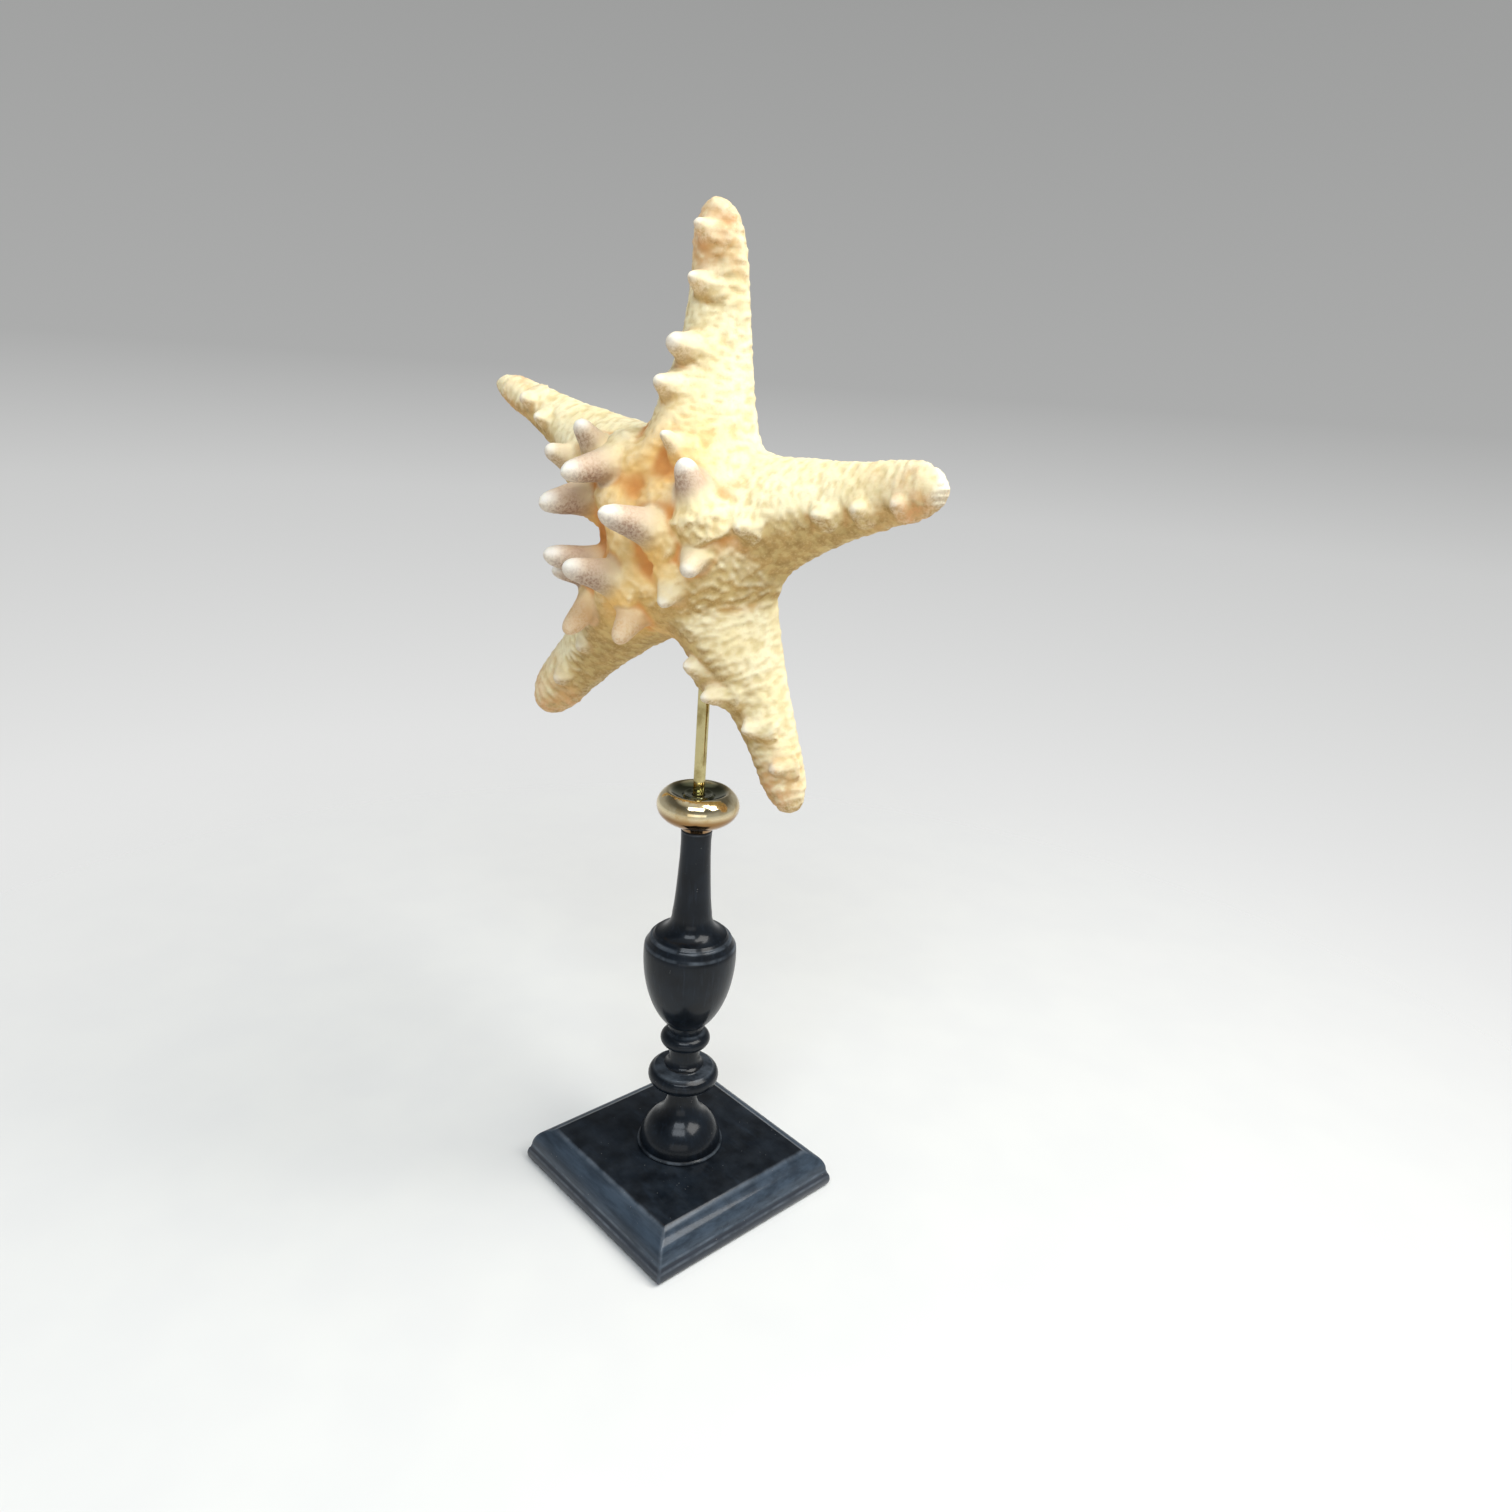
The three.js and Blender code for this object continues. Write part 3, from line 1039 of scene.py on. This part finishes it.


# %% [markdown]
# ## Ebonised wood
#
# The stand is wood stained blue-black under a thin coat of wax. The grain only shows as fine pores and as
# faint streaks in the shine. Handling has rubbed the colour thin on the high edges, and dust has settled
# in specks. The plinth's moulding is painted lighter and blotchy, above a darker foot: partly a chalk-like
# surface, partly a painted sheen that stands in for the soft shine on its slopes. The grain runs along the
# column and along the plinth, so the two differ in how the noise is stretched, and in whether they have
# mitred corners.

# %% Wood
# Heights of the rubbed edges, and how far each grain stretches the noise.
PLINTH_EDGES = (4.6, 6.8, 14.4)
COLUMN_EDGES = (15.8, 41.4, 47.2, 55.9, 62.1, 97.0, 99.7, 139.2)
PLINTH_GRAIN = (0.12, 0.3, 1)
COLUMN_GRAIN = (1, 1, 0.12)
STREAK_SIZE = 1.3
CLOUD_SIZE = 11
PORE_SIZE = 0.5
PORE_DEPTH = 0.06
FOOT_FADE = (5.9, 6.7)
CORNER_FADE = (14.2, 14.5)
MOULDING_FADE = (14.2, 14.9)

EBONY = colour(10, 14, 19), colour(19, 26, 34)
STREAK = colour(38, 48, 60)
CHALKY_AND_SHEEN = colour(46, 56, 67), colour(66, 79, 93)
PLINTH_FOOT = colour(50, 52, 58)
WORN = colour(108, 117, 127)
DUST = colour(150, 150, 148)


def ebonised_wood(name, stretch, edge_heights, moulded):
    """Blue-black satin wood, rubbed on its edges, with mitred corners and lighter sides where moulded, partly
    chalk-like and partly painted sheen.
    """
    finish = Finish(name)
    streaks = finish.noise(STREAK_SIZE, 4, 0.6, stretch)
    clouds = finish.noise(CLOUD_SIZE, 3, 0.55)
    pores = finish.noise(PORE_SIZE, 2, 0.6, stretch)
    dust = finish.specks(1.9, 0.075) * finish.noise(6, 2).between(0.5, 0.62)
    height = finish.axis("Z") * (1 / MM)
    rubbed = 1 - (height - edge_heights[0]).size().between(0.1, 0.75)
    for edge in edge_heights[1:]:
        rubbed = rubbed.maths("MAXIMUM", rubbed, 1 - (height - edge).size().between(0.1, 0.75))
    if moulded:
        off_corner = (finish.axis("X").size() - finish.axis("Y").size()).size() * (1 / MM)
        mitre = (1 - off_corner.between(0.3, 1.4)) * (1 - height.between(*CORNER_FADE))
        rubbed = rubbed.maths("MAXIMUM", rubbed, mitre)
    rubbed = rubbed * finish.noise(7, 3, 0.6).between(0.25, 0.8)
    body = finish.mix(clouds.between(0.3, 0.7), *EBONY)
    body = finish.mix(streaks.between(0.5, 0.8) * 0.4, body, STREAK)
    if moulded:
        moulding = 1 - height.between(*MOULDING_FADE)
        # Painted sheen: the moulding is lighter and bluish, partly a chalk-like surface and partly standing
        # in for its soft shine.
        chalky_sheen = finish.mix(finish.noise(2.2, 4, 0.65, stretch).between(0.3, 0.7), *CHALKY_AND_SHEEN)
        body = finish.mix(moulding * 0.85, body, chalky_sheen)
        body = finish.mix((1 - height.between(*FOOT_FADE)) * 0.7, body, PLINTH_FOOT)
    body = finish.mix(rubbed * 0.55, body, WORN)
    body = finish.mix(dust * 0.7, body, DUST)
    shine = 0.24 + clouds * 0.12 + streaks * 0.1 + rubbed * 0.12 + dust * 0.3
    relief = finish.bump(pores * 0.6 + streaks * 0.4 + dust * 0.5, PORE_DEPTH)
    return finish.surface(
        Base_Color=body,
        Roughness=shine,
        Normal=relief,
        Specular_IOR_Level=0.08,
        Coat_Weight=0.36,
        Coat_Roughness=0.14,
    )


paint(plinth, ebonised_wood("ebonised_wood_plinth", PLINTH_GRAIN, PLINTH_EDGES, moulded=True))
paint(column, ebonised_wood("ebonised_wood_column", COLUMN_GRAIN, COLUMN_EDGES, moulded=False))
print("wood finished")

# %% [markdown]
# ## Polished brass
#
# Brass is a metal, so its colour is all in what it reflects. The polish is not perfect: faint rings from
# the lathe run round the bun, and fingermarks dull it in soft patches. The bun is painted brown on its
# underside, as painted shade, and dark olive in the dish round the rod, as a painted reflection of dark
# surroundings. The rod is a darker, olive copy of the same brass, painted shade for the darker
# surroundings that it reflects.

# %% Brass
BUN_GOLD = colour(240, 226, 188), colour(216, 190, 138)
# The rod's brass is a darker, olive copy of the bun's: painted shade for the darker surroundings that it
# reflects.
SHADED_ROD_GOLD = colour(206, 194, 142), colour(166, 150, 98)
SHADED_BROWN_BELOW = colour(150, 114, 72)
DARK_DISH_REFLECTION = colour(80, 88, 64)
SPOT = colour(92, 74, 44)
BUN_LINES = (0.02, 0.02, 1)
ROD_LINES = (1, 1, 0.05)
LINE_DEPTH = 0.004

# The bun is painted brown below the first height, as painted shade, and dark in its dish above the second, as
# a painted reflection. The rod has neither.
BUN_SHADE_HEIGHTS = (148.6, 150)
ROD_SHADE_HEIGHTS = (100, 240)
DISH_RADIUS = (8.4, 10.8)


def polished_brass(name, gold, lines, shade_heights):
    """Bright brass with turning lines and soft patches, with painted shade below the first height and a
    painted reflection in the dish above the second, in millimetres.
    """
    finish = Finish(name)
    patches = finish.noise(5, 4, 0.6)
    smears = finish.noise(1.6, 3, 0.6)
    rings = finish.noise(0.22, 2, 0.5, lines)
    spots = finish.specks(1.1, 0.06)
    body = finish.mix(patches.between(0.42, 0.72), *gold)
    height = finish.axis("Z") * (1 / MM)
    flat = finish.add("ShaderNodeVectorMath", {"operation": "MULTIPLY"}, {0: finish.place, 1: (1, 1, 0)})
    radius = finish.length(flat) * (1 / MM)
    dish = (1 - radius.between(*DISH_RADIUS)) * height.between(shade_heights[1] - 1, shade_heights[1] + 1)
    # Painted shade: the bun is brown below the first height. Painted reflection: its dish is dark olive above
    # the second.
    body = finish.mix(1 - height.between(shade_heights[0] - 2.5, shade_heights[0] + 1), body, SHADED_BROWN_BELOW)
    body = finish.mix(dish * 0.9, body, DARK_DISH_REFLECTION)
    body = finish.mix(spots * 0.5, body, SPOT)
    shine = 0.055 + patches.between(0.4, 0.7) * 0.07 + smears * 0.04 + spots * 0.2
    relief = finish.bump(rings, LINE_DEPTH)
    return finish.surface(Base_Color=body, Metallic=1.0, Roughness=shine, Normal=relief)


paint(bun, polished_brass("polished_brass_bun", BUN_GOLD, BUN_LINES, BUN_SHADE_HEIGHTS))
paint(rod, polished_brass("polished_brass_rod", SHADED_ROD_GOLD, ROD_LINES, ROD_SHADE_HEIGHTS))
print("brass finished")

# %% [markdown]
# ## Dried skin
#
# The skin is pale cream where it is dry and clean, orange where it lies in hollows and straw-coloured in its
# pits. Where it faces down it turns to a darker khaki copy of the cream, which is painted shade. In the
# crevices it is a deeper orange, partly its own colour and partly painted shade. The horns are lilac brown
# with chalk-white tips, and both turn to darker copies on the sides that face down, as painted shade. The
# two that lean down are sandy, and the ends of the arms have a tan blush. Each of these is a mix by one of
# the painter's notes, broken up with noise so that no border is even. A little light scatters under the
# surface, as in chalk.

# %% Skin
# The cream as lit, and a darker khaki copy of it painted as shade where the skin faces down.
LIT_CREAM = colour(247, 232, 184), colour(252, 242, 204)
SHADED_KHAKI = colour(160, 128, 72), colour(190, 156, 96)
GRANULE = colour(230, 202, 144)
STRAW = colour(210, 186, 126)
ORANGE = colour(250, 200, 116)
DEEP_ORANGE_AND_SHADE = colour(216, 146, 72)
BLUSH = colour(216, 158, 104)
# The horns' lilac as lit, and a darker copy of it painted as shade where a horn faces down.
LILAC_LIT_AND_SHADED = colour(202, 174, 148), colour(148, 116, 94)
LILAC_GRAIN = colour(198, 172, 150)
HORN_FOOT = colour(240, 220, 184)
SANDY = colour(222, 176, 122)
# The tips' chalk white as lit, and a darker copy of it painted as shade where a tip faces down.
CHALK_LIT_AND_SHADED = colour(254, 252, 244), colour(206, 194, 178)
CREST = colour(252, 242, 216)
UNDERSIDE = colour(222, 190, 140)
GRANULE_DEPTH = 0.16


def dried_skin():
    """Chalky cream skin with orange hollows, straw pits, lilac and sandy horns, and white tips."""
    finish = Finish("dried_starfish_skin")
    shaft, lilac, sand, tip, pit, crevice, warm, crest, tan, under = map(finish.attribute, NOTES)
    facing = finish.add("ShaderNodeNewGeometry", output="Normal")
    upward = finish.add("ShaderNodeSeparateXYZ", None, {"Vector": facing}, output="Z")
    clouds = finish.noise(14, 3, 0.55)
    blotches = finish.noise(4.5, 4, 0.6)
    grains = finish.noise(0.9, 3, 0.65)
    dust = finish.noise(0.35, 2, 0.6)
    # Painted shade: the skin turns from its lit cream to the darker khaki copy where it faces down.
    shaded = upward.between(0.2, -0.5)
    lit_cream = finish.mix(clouds.between(0.3, 0.7), *LIT_CREAM)
    shaded_khaki = finish.mix(blotches.between(0.3, 0.7), *SHADED_KHAKI)
    body = finish.mix(shaded, lit_cream, shaded_khaki)
    body = finish.mix(grains.between(0.45, 0.75) * 0.35, body, GRANULE)
    body = finish.mix(pit * (0.25 + blotches * 0.65), body, STRAW)
    body = finish.mix(warm * (0.62 + blotches * 0.4), body, ORANGE)
    # The crevices are a deeper orange: partly the skin's own colour, partly painted shade where the hollows
    # close in.
    body = finish.mix(crevice * (0.6 + blotches * 0.7), body, DEEP_ORANGE_AND_SHADE)
    body = finish.mix(tan * blotches.between(0.25, 0.65) * 0.85, body, BLUSH)
    # Painted shade: horns and their tips turn to their darker copies where they face down.
    painted_shade_side = upward.between(0.6, -0.45)
    horn = finish.mix(painted_shade_side, *LILAC_LIT_AND_SHADED)
    horn = finish.mix(grains.between(0.35, 0.7) * 0.3, horn, LILAC_GRAIN)
    body = finish.mix(shaft * 0.35, body, HORN_FOOT)
    body = finish.mix(lilac * (0.7 + blotches * 0.6), body, horn)
    body = finish.mix(sand * (0.25 + blotches * 0.75), body, SANDY)
    chalk = finish.mix(painted_shade_side, *CHALK_LIT_AND_SHADED)
    body = finish.mix(tip * (0.72 + grains * 0.35), body, chalk)
    body = finish.mix(crest * 0.25 * grains.between(0.35, 0.6), body, CREST)
    body = finish.mix(under * 0.35, body, UNDERSIDE)
    rough = 0.78 - shaft * 0.16 - tip * 0.08 + pit * 0.1
    relief = finish.bump(grains * 0.7 + dust * 0.3, GRANULE_DEPTH, 0.9)
    return finish.surface(
        Base_Color=body,
        Roughness=rough,
        Normal=relief,
        Subsurface_Weight=0.06,
        Subsurface_Radius=(1.0, 0.6, 0.3),
        Subsurface_Scale=1.6 * MM,
        Specular_IOR_Level=0.35,
    )


paint(star, dried_skin())
print("skin finished")

# %% [markdown]
# ## Floor and light
#
# The floor is a pale disc that fades out well before its rim, so it runs into the background with no
# edge. The background is a gradient by height: nearly white low down, grey at the horizon, dark higher up
# and pale again overhead. The dark band gives the brass and the wax something to reflect. One large soft
# light hangs high at the right, a weak one stands in front, and a bluish one, like a window, draws the
# highlights on the wood.

# %% Floor, world and lights
FLOOR_RADIUS = 0.9
FLOOR_FADE = (0.08, 0.6)
FLOOR_DROP = 0.05
FLOOR_PALE = colour(232, 233, 232), colour(235, 236, 234)


def pale_floor():
    """A disc just under the plinth, which fades into the background."""
    let_go()
    middle = (0, 0, -FLOOR_DROP * MM)
    bpy.ops.mesh.primitive_circle_add(vertices=96, radius=FLOOR_RADIUS, fill_type="NGON", location=middle)
    floor = bpy.context.object
    floor.name = "floor"
    take(floor)
    bpy.ops.object.transform_apply(location=True)
    finish = Finish("pale_floor")
    faded = finish.length(finish.place).between(*FLOOR_FADE)
    mottle = finish.noise(40, 2, 0.5)
    body = finish.mix(mottle.between(0.3, 0.7), *FLOOR_PALE)
    shader = finish.add("ShaderNodeBsdfPrincipled", None, {"Base Color": body, "Roughness": 0.8})
    clear = finish.add("ShaderNodeBsdfTransparent")
    both = finish.add("ShaderNodeMixShader", None, {0: faded, 1: shader, 2: clear})
    finish.add_output(both)
    paint(floor, finish.material)


BACKDROP = [
    # height of the direction, and the grey seen there
    (-1.0, 252),
    (-0.58, 250),
    (-0.355, 232),
    (-0.10, 203),
    (0.0, 172),
    (0.27, 158),
    (0.55, 100),
    (0.75, 88),
    (0.88, 190),
    (1.0, 205),
]
GREENER = 0.5


def backdrop():
    """A world whose colour depends only on the height of the direction."""
    world = bpy.data.worlds.new("backdrop")
    world.use_nodes = True
    nodes = world.node_tree.nodes
    links = world.node_tree.links
    nodes.clear()
    place = nodes.new("ShaderNodeTexCoord")
    axes = nodes.new("ShaderNodeSeparateXYZ")
    ramp = nodes.new("ShaderNodeValToRGB")
    light = nodes.new("ShaderNodeBackground")
    output = nodes.new("ShaderNodeOutputWorld")
    spread = nodes.new("ShaderNodeMapRange")
    spread.inputs["From Min"].default_value = -1
    stops = ramp.color_ramp.elements
    while len(stops) < len(BACKDROP):
        stops.new(0.5)
    for stop, (height, grey) in zip(stops, BACKDROP):
        stop.position = (height + 1) / 2
        stop.color = colour(grey, grey + GREENER, grey)
    links.new(place.outputs["Generated"], axes.inputs["Vector"])
    links.new(axes.outputs["Z"], spread.inputs["Value"])
    links.new(spread.outputs["Result"], ramp.inputs["Fac"])
    links.new(ramp.outputs["Color"], light.inputs["Color"])
    links.new(light.outputs["Background"], output.inputs["Surface"])
    bpy.context.scene.world = world


def soft_light(name, place, target, size, power, tint):
    """An area light at a place in metres, aimed at a target."""
    data = bpy.data.lights.new(name, "AREA")
    data.shape = "RECTANGLE"
    data.size, data.size_y = size
    data.energy = power
    data.color = tint
    light = bpy.data.objects.new(name, data)
    bpy.context.scene.collection.objects.link(light)
    aim = Vector(target) - Vector(place)
    light.rotation_euler = aim.to_track_quat("-Z", "Y").to_euler()
    light.location = place


LIGHTS = [
    # name, place, target and size in metres, power in watts, and tint
    ("key", (0.68, 0.36, 1.24), (0, 0, 0.18), (0.85, 0.85), 16.6, (1.0, 0.985, 0.95)),
    ("front", (0.80, -0.72, 0.26), (0, 0, 0.15), (1.0, 0.34), 1.0, (1.0, 0.99, 0.96)),
    ("window", (0.46, -0.48, 0.90), (0, 0, 0.05), (0.66, 0.3), 4.6, (0.86, 0.93, 1.0)),
]

pale_floor()
backdrop()
for light in LIGHTS:
    soft_light(*light)
bpy.context.scene.view_settings.view_transform = "Standard"
print("floor and lights ready")
